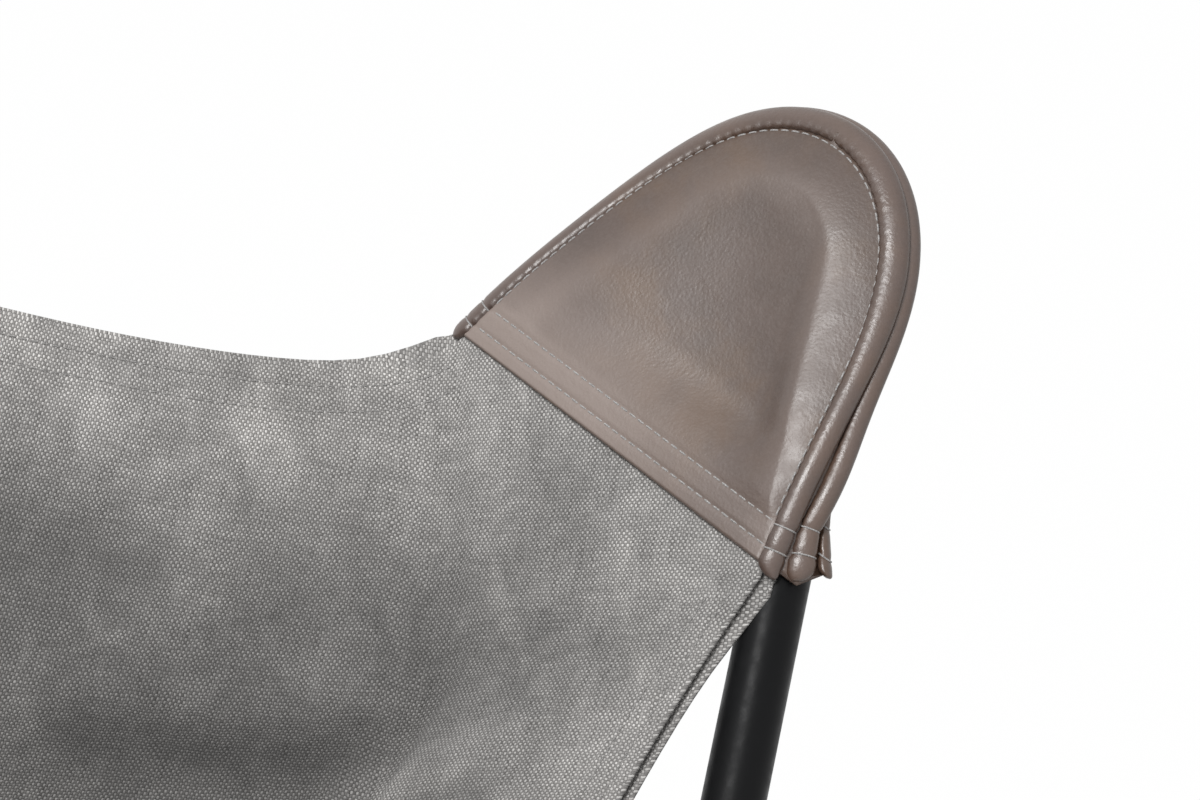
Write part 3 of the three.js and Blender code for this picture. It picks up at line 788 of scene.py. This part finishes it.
def make_panel(name, ear, side, material):
    """A leather panel as a closed shell: its outer skin, a rounded base edge and its inner skin."""
    first = of_side(PANEL_START, side)
    angle = np.linspace(first, math.pi - first, POCKET_COLUMNS + 1)
    rise = crowded(POCKET_ROWS, ROW_CROWDING)
    rim_t, rim_h = outline(angle, of_side((PANEL_INSET, ROLL_IN), side))
    if side < 0:
        rim_t = wall_rim(ear, rim_t, rim_h)[:, 0]
    t = np.broadcast_to(rim_t[:, None], (len(angle), len(rise)))
    base = base_line(side, rim_t)[:, None]
    h = base + (rim_h[:, None] - base) * rise[None, :]
    n = panel_height(ear, side, t, h)
    skin = ear.seated(t, h, n)
    inner = ear.seated(t, h, n - side * LEATHER)
    down = ear.seated(t[:, :1], h[:, :1] - EDGE_DOWN, n[:, :1] - side * LEATHER / 2)
    upper = mix(skin[:, :1], down, EDGE_SHARE) + EDGE_ROUND * side * ear.facing
    lower = mix(inner[:, :1], down, EDGE_SHARE) - EDGE_ROUND * side * ear.facing
    loops = np.concatenate([skin[:, ::-1], upper, down, lower, inner], axis=1)
    sides = loops.shape[1]
    to_tube = distance_to(np.stack(ear.seat(np.ravel(t), np.ravel(h)), axis=1), ear.tube_line())
    # Painted highlight along the ridge over the tube, and painted light towards the base on the -t side and
    # along the base strip up to just above its upper stitch row
    wash_and_painted_light = TUBE_PAINTED_HIGHLIGHT * bell(to_tube, TUBE_HIGHLIGHT_REACH).reshape(h.shape)
    wash_and_painted_light = wash_and_painted_light + (1 - smooth(h / SIDE_PAINTED_LIGHT_RISE)) * (1 - ramp(t, *SIDE_PAINTED_LIGHT_RAMP))
    wash_and_painted_light = wash_and_painted_light + STRIP_PAINTED_LIGHT * (1 - ramp(h, BASE_ROWS[-1], STRIP_PAINTED_LIGHT_RUN))
    edge = np.full((len(angle), 3), EDGE_RUB)
    rub = np.concatenate([wash_and_painted_light[:, ::-1], edge, np.zeros_like(h)], axis=1)
    part = of_side(("front_panel", "back_panel"), side)
    make_object(f"{name}_{part}_leather", loops.reshape(-1, 3), ring_faces(len(angle), sides), "grey_leather",
                material, [f"{name}_{part}"], rub=rub.ravel())


def roll_path(ear, side):
    """Middle of a rolled binding in the pocket's pattern, run on a little below the base at both ends."""
    inset = of_side((ROLL_IN, ROLL_IN - BACK_ROLL_OUT), side)
    t, h = outline(np.linspace(0, math.pi, 400), inset)
    start = of_side((0, ROLL_LIFT), side) - ROLL_END
    h = np.maximum(h, start + (ROLL_LIFT + h) / 4) if side < 0 else h
    t, h = np.concatenate([t[:1], t, t[-1:]]), np.concatenate([[start], h, [start]])
    return resample(of_side((front_rim, back_rim), side)(ear, t, h), ROLL_STEP)


def rim_outward(path):
    ahead = np.gradient(path[:, :2], axis=0)
    return unit(np.stack([-ahead[:, 1], ahead[:, 0]], axis=1))


def roll_rows(side):
    return [row + of_side((0, ROLL_LIFT), side) for row in BASE_ROWS]


def roll_section(path, side, turn):
    """Section of a rolled binding at each step, drawn in by stitches and the base rows, and flared below."""
    run = run_along(path)
    to_end = np.clip(np.minimum(run, run[-1] - run) / ROLL_TIP, 0, 1)
    end = np.sqrt(np.clip(1 - (1 - to_end) ** 2, 0.02, 1))
    pinch = sum(bell(path[:, 1] - row, PINCH_WIDTH) for row in roll_rows(side))
    flare = bell(path[:, 1] - path[0, 1] - ROLL_END, ROLL_FLARE_RUN)
    size = end * (1 - ROLL_PINCH * pinch)
    swell = 1 + ROLL_SWELL * ramp(path[:, 1], *SWELL_RAMP) * (side > 0)
    wide, thick = of_side(ROLLS, side)
    wide = wide * size * swell * (1 + of_side(ROLL_FLARE, side) * flare)
    drawn = 0.5 + 0.5 * np.cos(2 * math.pi * run / STITCH_PITCH)
    inner = np.clip(-np.cos(turn), 0, 1) ** 2
    scallop = 1 - ROLL_SCALLOP * drawn[:, None] * inner[None, :]
    shift = of_side(ROLL_TIP_SHIFT, side) * (1 - end)
    across = wide[:, None] * np.cos(turn)[None, :] * scallop + shift[:, None]
    through = thick * size[:, None] * np.sin(turn)[None, :] * scallop
    return across, through


def roll_surface(ear, side, turn, lift=0.0):
    """Points of a rolled binding in the pocket's pattern, for turns round its section, raised by a lift."""
    path = roll_path(ear, side)
    outward = rim_outward(path)
    across, through = roll_section(path, side, turn)
    across = across + lift * np.cos(turn)
    through = through + lift * np.sin(turn)
    out = across * math.cos(ROLL_TILT) + through * math.sin(ROLL_TILT)
    rise = through * math.cos(ROLL_TILT) - across * math.sin(ROLL_TILT)
    return path[:, :1] + outward[:, :1] * out, path[:, 1:2] + outward[:, 1:] * out, path[:, 2:] + rise


def make_roll(name, ear, side, material):
    """A rolled leather binding along a pocket's rim."""
    turn = around(ROLL_SIDES)
    points = ear.seated(*roll_surface(ear, side, turn))
    # Lighter along the crown of the roll
    rub = np.broadcast_to(np.clip(np.sin(turn), 0, 1) ** 4 * ROLL_CROWN_LIGHTENING, points.shape[:2])
    part = of_side(("front_binding", "back_binding"), side)
    faces = ring_faces(len(points), len(turn))
    make_object(f"{name}_{part}_roll", points.reshape(-1, 3), faces, "grey_leather", material,
                [f"{name}_{part}"], rub=rub.ravel())


def raised(t, h):
    """The wall's line, which starts above the base."""
    return t, np.maximum(h, BASE_LIFT + RAISED_SHARE * h)


def make_gusset(name, ear, material):
    """The narrow strip that runs from the front roll behind the back roll to the back panel's wall."""
    angle = np.linspace(0, math.pi, 240)
    lines = [front_rim(ear, *outline(angle, ROLL_IN)),
             back_rim(ear, *outline(angle, ROLL_IN - BACK_ROLL_OUT)),
             wall_rim(ear, *raised(*outline(angle, ROLL_IN)))]
    outward = np.concatenate([rim_outward(lines[0]), np.zeros((len(angle), 1))], axis=1)
    rings = lines + [line - GUSSET * outward for line in reversed(lines)]
    points = np.stack([ear.seated(*ring.T) for ring in rings], axis=1).reshape(-1, 3)
    turn = around(WALL_FOLD_SIDES)
    parts = [(points, ring_faces(len(angle), len(rings)))]
    for side in (-1, 1):
        fold = fold_surface(ear, side, turn)
        parts.append((fold.reshape(-1, 3), ring_faces(len(fold), len(turn))))
    points, faces = join(parts)
    make_object(f"{name}_gusset_strip", points, faces, "grey_leather", material, [f"{name}_gusset"],
                rub=np.zeros(len(points)))


def fold_surface(ear, side, turn, lift=0.0):
    """The wall's edge, folded thick beside a leg and thinning out above its flare."""
    h = WALL_FOLD_HEIGHTS
    middle = wall_rim(ear, side * pattern_half(h, ROLL_IN), h)
    end = np.sqrt(np.clip(1 - (1 - np.clip((h - h[0]) / WALL_FOLD_TIP, 0, 1)) ** 2, 0.03, 1))
    pinch = sum(bell(h - BASE_LIFT - row, PINCH_WIDTH) for row in BASE_ROWS)
    thinning = mix(1, WALL_FOLD_END, ramp(h, h[0], h[-1] - h[0]))
    radius = WALL_FOLD_R * end * (1 - WALL_FOLD_PINCH * pinch) * thinning + lift
    across, rise = radius[:, None] * np.cos(turn), radius[:, None] * np.sin(turn)
    return ear.seated(middle[:, :1] + side * across, middle[:, 1:2], middle[:, 2:] + rise)


def rim_stitching(ear, side):
    angle = np.linspace(0, math.pi, 400)
    t, h = outline(angle, STITCH_INSET - 0.1, STITCH_OVER) if side > 0 else outline(angle, WALL_STITCH_IN)
    if side < 0:
        t = np.sign(t) * np.minimum(np.abs(t), np.abs(wall_rim(ear, t, h)[:, 0]) - 2)
    path = resample(np.stack([t, h], axis=1)[h > BASE_ROWS[1]], 1.2)
    return stitches(*on_panel(ear, side, path[:, 0], path[:, 1]))


def base_stitching(ear, side, row):
    if side > 0:
        left = right = pattern_half(row, STITCH_INSET)
    else:
        high = row + BASE_LIFT
        ends = wall_rim(ear, point([-1, 1]) * pattern_half(high, ROLL_IN), point([high, high]))
        left, right = np.abs(ends[:, 0]) - 1.5
    t = np.linspace(-left, right, 120)
    return stitches(*on_panel(ear, side, t, row + base_line(side, t)))


def thread_wraps(ear, side):
    """Where the base rows run on over a rolled binding, the thread lies across it."""
    turn = np.linspace(math.pi, -0.3 * math.pi, WRAP_STEPS)
    t, h, n = roll_surface(ear, side, turn, WRAP_LIFT)
    middle = roll_path(ear, side)[:, 1]
    half = len(middle) // 2
    parts = []
    for row in roll_rows(side):
        for end in (slice(0, half), slice(half, None)):
            k = int(np.argmin(np.abs(middle[end] - row))) + (end.start or 0)
            parts.append(tube(ear.seated(t[k], h[k], n[k]), THREAD_R, THREAD_SIDES))
    return parts


def fold_wraps(ear):
    """The thread of the base rows round the folded edges of the wall."""
    turn = np.linspace(0.8 * math.pi, -0.6 * math.pi, WRAP_STEPS)
    rows = [int(np.argmin(np.abs(WALL_FOLD_HEIGHTS - BASE_LIFT - row))) for row in BASE_ROWS]
    folds = [fold_surface(ear, side, turn, WRAP_LIFT) for side in (-1, 1)]
    return [tube(fold[k], THREAD_R, THREAD_SIDES) for fold in folds for k in rows]


def make_pocket(corner, leather, binding, thread):
    name = f"pocket_{corner}"
    ear = Ear(corner)
    for side in (1, -1):
        make_panel(name, ear, side, leather)
        make_roll(name, ear, side, binding)
    make_gusset(name, ear, binding)
    parts = fold_wraps(ear)
    for side in (1, -1):
        parts.append(rim_stitching(ear, side))
        parts += [base_stitching(ear, side, row) for row in BASE_ROWS]
        parts += thread_wraps(ear, side)
    make_object(f"{name}_stitching", *join(parts), "grey_canvas", thread)


# Sling: a patch on four edges, each straight on the pockets and hanging between them
def sling_edge(side, start, leave_start, end, leave_end):
    level = CANVAS_TOP - CANVAS - GAP
    inset = FRONT_EDGE_IN if side > 0 else SIDE_EDGE_IN
    corner = lambda ear, below=0: ear.seated(side * (POCKET_HALF - inset), -below, level)
    apex = lambda ear: ear.seated(0, POCKET_HALF, level)
    a, b, c, d = corner(start), corner(start, leave_start), corner(end, leave_end), corner(end)
    k = np.linspace(0, 1, 1500)[:, None]
    curve = a * (1 - k) ** 3 + 3 * b * k * (1 - k) ** 2 + 3 * c * k ** 2 * (1 - k) + d * k ** 3
    run = run_along(curve)
    run = ON_POCKET + run / run[-1] * (1 - 2 * ON_POCKET)
    knots = np.concatenate([[0], run, [1]])
    points = np.concatenate([[apex(start)], curve, [apex(end)]])
    return lambda u: follow(u, knots, points)


def grid_runs(grid):
    """Lengths along a grid's lines, across the seat and from front to back."""
    across = np.cumsum(np.linalg.norm(np.diff(grid, axis=0, prepend=grid[:1]), axis=2), axis=0)
    along = np.cumsum(np.linalg.norm(np.diff(grid, axis=1, prepend=grid[:, :1]), axis=2), axis=1)
    return across, along


class Sling:
    """The sling's middle surface and its flat pattern."""

    def __init__(self):
        ears = {name: Ear(name) for name in EARS}
        fl, fr, bl, br = (ears[k] for k in ("front_left", "front_right", "back_left", "back_right"))
        self.front = sling_edge(1, fl, FRONT_EDGE_LEAVE, fr, FRONT_EDGE_LEAVE)
        self.back = sling_edge(1, bl, BACK_EDGE_LEAVE, br, BACK_EDGE_LEAVE)
        self.left = sling_edge(-1, fl, SIDE_EDGE_LEAVE_FRONT, bl, SIDE_EDGE_LEAVE_BACK)
        self.right = sling_edge(-1, fr, SIDE_EDGE_LEAVE_FRONT, br, SIDE_EDGE_LEAVE_BACK)

    def points(self, u, v):
        """Grid of points for values of u across the seat and v from front to back."""
        p, q = ease(u)[:, None, None], ease(v)[None, :, None]
        front, back = self.front(u)[:, None], self.back(u)[:, None]
        left, right = self.left(v)[None], self.right(v)[None]
        corners = (front[:1] * (1 - p) * (1 - q) + front[-1:] * p * (1 - q)
                   + back[:1] * (1 - p) * q + back[-1:] * p * q)
        grid = front * (1 - q) + back * q + left * (1 - p) + right * p - corners
        bowl = lambda k: np.abs(np.sin(math.pi * k)) ** SAG_SPREAD
        grid[..., 2] -= SEAT_SAG * bowl(u)[:, None] * bowl(v)[None]
        return grid

    def flat_pattern(self):
        """The patch laid flat with its lengths kept as well as they can be."""
        k = np.linspace(0, 1, FLAT_CELLS + 1)
        grid = self.points(k, k)
        n = len(k)
        steps = []
        for i, j in ((1, 0), (0, 1), (1, 1), (1, -1)):
            first = (slice(0, n - i), slice(max(0, -j), n - max(0, j)))
            second = (slice(i, n), slice(max(0, j), n - max(0, -j)))
            steps.append((first, second, np.linalg.norm(grid[second] - grid[first], axis=2, keepdims=True)))
        across, along = grid_runs(grid)
        flat = np.stack([across - across[-1:] / 2, along - along[:, -1:] / 2], axis=2)
        for _ in range(FLAT_ROUNDS):
            push = np.zeros_like(flat)
            for first, second, true in steps:
                gap = flat[second] - flat[first]
                fix = gap * (1 - true / np.linalg.norm(gap, axis=2, keepdims=True))
                push[first] += fix
                push[second] -= fix
            flat += push * FLAT_EASE
        return k, flat


def spread_flat(k, flat, u):
    """Flat pattern at the dense grid's values."""
    rows = np.array([follow(u, k, flat[:, j]) for j in range(len(k))])
    return np.array([follow(u, k, rows[:, i]) for i in range(len(u))])


def grid_normals(grid):
    return unit(np.cross(np.gradient(grid, axis=0), np.gradient(grid, axis=1)))


def edge_distances(grid):
    """Distance of each grid point from the front, back, left and right edges, along the surface."""
    across, along = grid_runs(grid)
    return along, along[:, -1:] - along, across, across[-1:] - across


def canvas_shell(top, bottom, keep, uv):
    """A closed sheet between two grids, with its hemmed edges rounded: points, faces and flat places."""
    n, m = top.shape[:2]
    ids = np.arange(n * m).reshape(n, m)
    points = [top.reshape(-1, 3), bottom.reshape(-1, 3)]
    below = n * m
    outward = np.zeros_like(top)
    for end, inside in ((0, 1), (-1, -2)):
        outward[end] += unit(top[end] - top[inside])
        outward[:, end] += unit(top[:, end] - top[:, inside])
    faces, seen = [], {}
    for i in range(n - 1):
        for j in range(m - 1):
            if keep[i, j]:
                ring = (ids[i, j], ids[i + 1, j], ids[i + 1, j + 1], ids[i, j + 1])
                faces.append(ring)
                faces.append(tuple(below + k for k in reversed(ring)))
                for a, b in zip(ring, ring[1:] + ring[:1]):
                    seen[a, b] = True
    edges = [(a, b) for a, b in seen if (b, a) not in seen]
    rim = sorted({k for edge in edges for k in edge})
    order = {k: i for i, k in enumerate(rim)}
    high, low = points[0][rim], points[1][rim]
    middle, half = (high + low) / 2, (high - low) / 2
    out = outward.reshape(-1, 3)[rim] * np.linalg.norm(half, axis=1, keepdims=True) * 1.3
    turns = (math.pi / 4, 0.0, -math.pi / 4)
    for turn in turns:
        points.append(middle + out * math.cos(turn) + half * math.sin(turn))
    down = lambda v: [v, *(2 * below + k * len(rim) + order[v] for k in range(len(turns))), below + v]
    for a, b in edges:
        left, right = down(a), down(b)
        for k in range(len(left) - 1):
            faces.append((left[k], left[k + 1], right[k + 1], right[k]))
    uv = uv.reshape(-1, uv.shape[2])
    points, uv = np.concatenate(points), np.concatenate([uv] * 2 + [uv[rim]] * len(turns))
    used = np.unique(np.concatenate([np.array(face) for face in faces]))
    order = np.full(len(points), -1)
    order[used] = np.arange(len(used))
    return points[used], [tuple(order[list(face)]) for face in faces], uv[used]


def soft_folds(flat):
    """Rise of the canvas in its soft folds, for places on the flat pattern."""
    places = flat.reshape(-1, 2)
    rise = np.zeros(len(places))
    for corner, share in FOLD_SHARE.items():
        mirror = point((1 if corner.endswith("right") else -1, 1 if corner.startswith("front") else -1))
        for line, height, width in FOLDS:
            rise += share * height * bell(distance_to(places * mirror, point(line)), width)
    return rise.reshape(flat.shape[:2])


def make_sling(canvas, thread):
    sling = Sling()
    u = crowded(SLING_CELLS, EDGE_CROWDING)
    grid = sling.points(u, u)
    normal = grid_normals(grid)
    k, flat = sling.flat_pattern()
    spread = spread_flat(k, flat, u)
    folds = soft_folds(spread)
    grid = grid + normal * folds[..., None]
    normal = grid_normals(grid)
    share = np.minimum(u, 1 - u)
    share = share[:, None] + share[None, :]
    distances = edge_distances(grid)
    to_edge = np.minimum.reduce(distances)
    to_seam = np.minimum(to_edge, (share - ON_POCKET) * POCKET_HALF / ON_POCKET)
    # Painted light and shade: brighter near the edges and pockets, darker towards the middle of the seat,
    # lighter on fold crests and darker in fold hollows
    painted_shading = mix(*CANVAS_PAINTED_SHADING, ramp(to_seam, *PAINTED_SHADING_RAMP)) * (1 + FOLD_PAINTED_SHADING * folds)
    uv = np.concatenate([spread * MM, painted_shading[..., None]], axis=2)
    keep = (share >= CORNER_CUT)[:-1, :-1]
    free = ramp(share, *FREE_RAMP)
    hem = HEM_RISE * (1 - ramp(to_edge, HEM, HEM_STEP)) * free
    for row in HEM_ROWS:
        hem = hem - HEM_ROW_DEPTH * bell(to_edge - row, HEM_ROW_WIDTH) * free
    top = grid + normal * (GAP / 2 + CANVAS + hem)[..., None]

    def layer(part, upper, lower):
        points, faces, flat_uv = canvas_shell(upper, lower, keep, uv)
        return make_object(f"sling_{part}_canvas", points, faces, "grey_canvas", canvas, [f"canvas_{part}"],
                           rub=flat_uv[:, 2], uv=flat_uv[:, :2])

    face = layer("face", top, grid + normal * (GAP / 2))

    out_u = unit(np.gradient(grid, axis=0))
    out_v = unit(np.gradient(grid, axis=1))
    near = [bell(distance, LINING_REACH) for distance in distances]
    beyond = share - ON_POCKET
    flare = LINING_FLARE * bell(beyond - LINING_FLARE_AT, LINING_FLARE_RUN)
    out = LINING_OUT * ramp(beyond, *LINING_OUT_RAMP) * (1 + flare)
    outward = out_u * (near[3] - near[2])[..., None] + out_v * (near[1] - near[0])[..., None]
    drop = LINING_DROP * bell(to_edge, LINING_REACH) * free
    low = grid + outward * out[..., None] - normal * drop[..., None]
    lower = low - normal * (GAP / 2 + CANVAS + LINING_HEM * hem)[..., None]
    lining = layer("lining", low - normal * (GAP / 2), lower)

    parts = hem_stitching(top, normal, distances, u, 1) + hem_stitching(lower, normal, distances, u, -1)
    seams = make_object("sling_hem_stitching", *join(parts), "grey_canvas", thread)


def hem_stitching(surface, normal, distances, u, side):
    """Two rows of stitches along each free edge."""
    free = np.minimum(u, 1 - u) > ON_POCKET + HEM_CLEAR
    parts = []
    for k, distance in enumerate(distances):
        lines = (surface, normal, distance)
        if k > 1:
            lines = tuple(np.swapaxes(a, 0, 1) for a in lines)
        grid, up, gone = (a[free] for a in lines)
        half = grid.shape[1] // 2
        part = slice(0, half) if k % 2 == 0 else slice(grid.shape[1] - 1, half, -1)
        for row in HEM_ROWS:
            pick = lambda a: np.array([follow(row, gone[i, part], a[i, part]) for i in range(len(gone))])
            parts.append(stitches(pick(grid), pick(up) * side, HEM_STITCH, HEM_PITCH))
    return parts


# Studio
def make_stage():
    mesh = bpy.data.meshes.new("floor")
    corners = [(x * FLOOR_REACH, y * FLOOR_REACH, 0) for x, y in ((-1, -1), (1, -1), (1, 1), (-1, 1))]
    mesh.from_pydata(corners, [], [(0, 1, 2, 3)])
    floor = add_to_scene("floor", mesh)
    s = Shader("pale_floor", Base_Color=(0.95, 0.95, 0.95), Roughness=0.9)
    output = s.tree.nodes["Material Output"].inputs[0]
    s.whiten("ShaderNodeEmission", s.surface.outputs[0], output, FLOOR_WHITE)
    mesh.materials.append(s.material)


def make_world():
    """Soft light from all round, which shows as plain white."""
    world = bpy.data.worlds.new("studio")
    bpy.context.scene.world = world
    world.use_nodes = True
    nodes = world.node_tree.nodes
    light = nodes["Background"]
    light.inputs["Color"].default_value = (1, 1, 1, 1)
    light.inputs["Strength"].default_value = WORLD_LIGHT
    output = nodes["World Output"].inputs[0]
    Nodes(world.node_tree).whiten("ShaderNodeBackground", light.outputs[0], output, 1)


def add_lamp(name, at, target, size, power):
    lamp = bpy.data.lights.new(name, "AREA")
    lamp.shape = "DISK"
    lamp.size = size
    lamp.energy = power
    body = add_to_scene(name, lamp)
    body.location = at
    body.rotation_euler = (Vector(target) - Vector(at)).to_track_quat("-Z", "Y").to_euler()


def make_camera():
    a, e, r = (math.radians(x) for x in (CAMERA_AZIMUTH, CAMERA_ELEVATION, CAMERA_ROLL))
    back = point((math.sin(a) * math.cos(e), -math.cos(a) * math.cos(e), math.sin(e)))
    level = point((math.cos(a), math.sin(a), 0))
    rise = np.cross(back, level)
    right = level * math.cos(r) + rise * math.sin(r)
    up = np.cross(back, right)
    data = bpy.data.cameras.new("camera")
    data.sensor_fit = "HORIZONTAL"
    data.sensor_width = SENSOR_WIDTH
    data.lens = CAMERA_LENS
    data.clip_start = 0.01
    camera = add_to_scene("camera", data)
    columns = np.stack([right, up, back, point(CAMERA_AT) * MM], axis=1)
    camera.matrix_world = Matrix([*columns.tolist(), (0, 0, 0, 1)])
    bpy.context.scene.camera = camera


def dress_hardware():
    """The bolts, nuts, saddles and glides keep their CAD shapes and get their own finishes."""
    zinc, plastic = zinc_material(), plastic_material()
    for name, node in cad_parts.items():
        for kinds, finish in (("glide", "saddle"), plastic), (("bolt", "nut"), zinc):
            if name.startswith(kinds):
                node.data.materials.clear()
                node.data.materials.append(finish)


make_camera()
make_stage()
make_world()
add_lamp("key", *KEY_LAMP)
leather = leather_material("taupe_leather", (1, 1, 1), 0.0)
binding = leather_material("binding_leather", (0.88, 0.82, 0.80), 0.09)
make_frame(steel_material())
make_sling(canvas_material(), thread_material("canvas_thread", (0.16, 0.155, 0.15), (0.42, 0.41, 0.40)))
pocket_thread = thread_material("grey_thread", (0.23, 0.22, 0.215), (0.54, 0.525, 0.515))
for corner in EARS:
    make_pocket(corner, leather, binding, pocket_thread)
dress_hardware()
bpy.context.scene.view_settings.view_transform = "Standard"
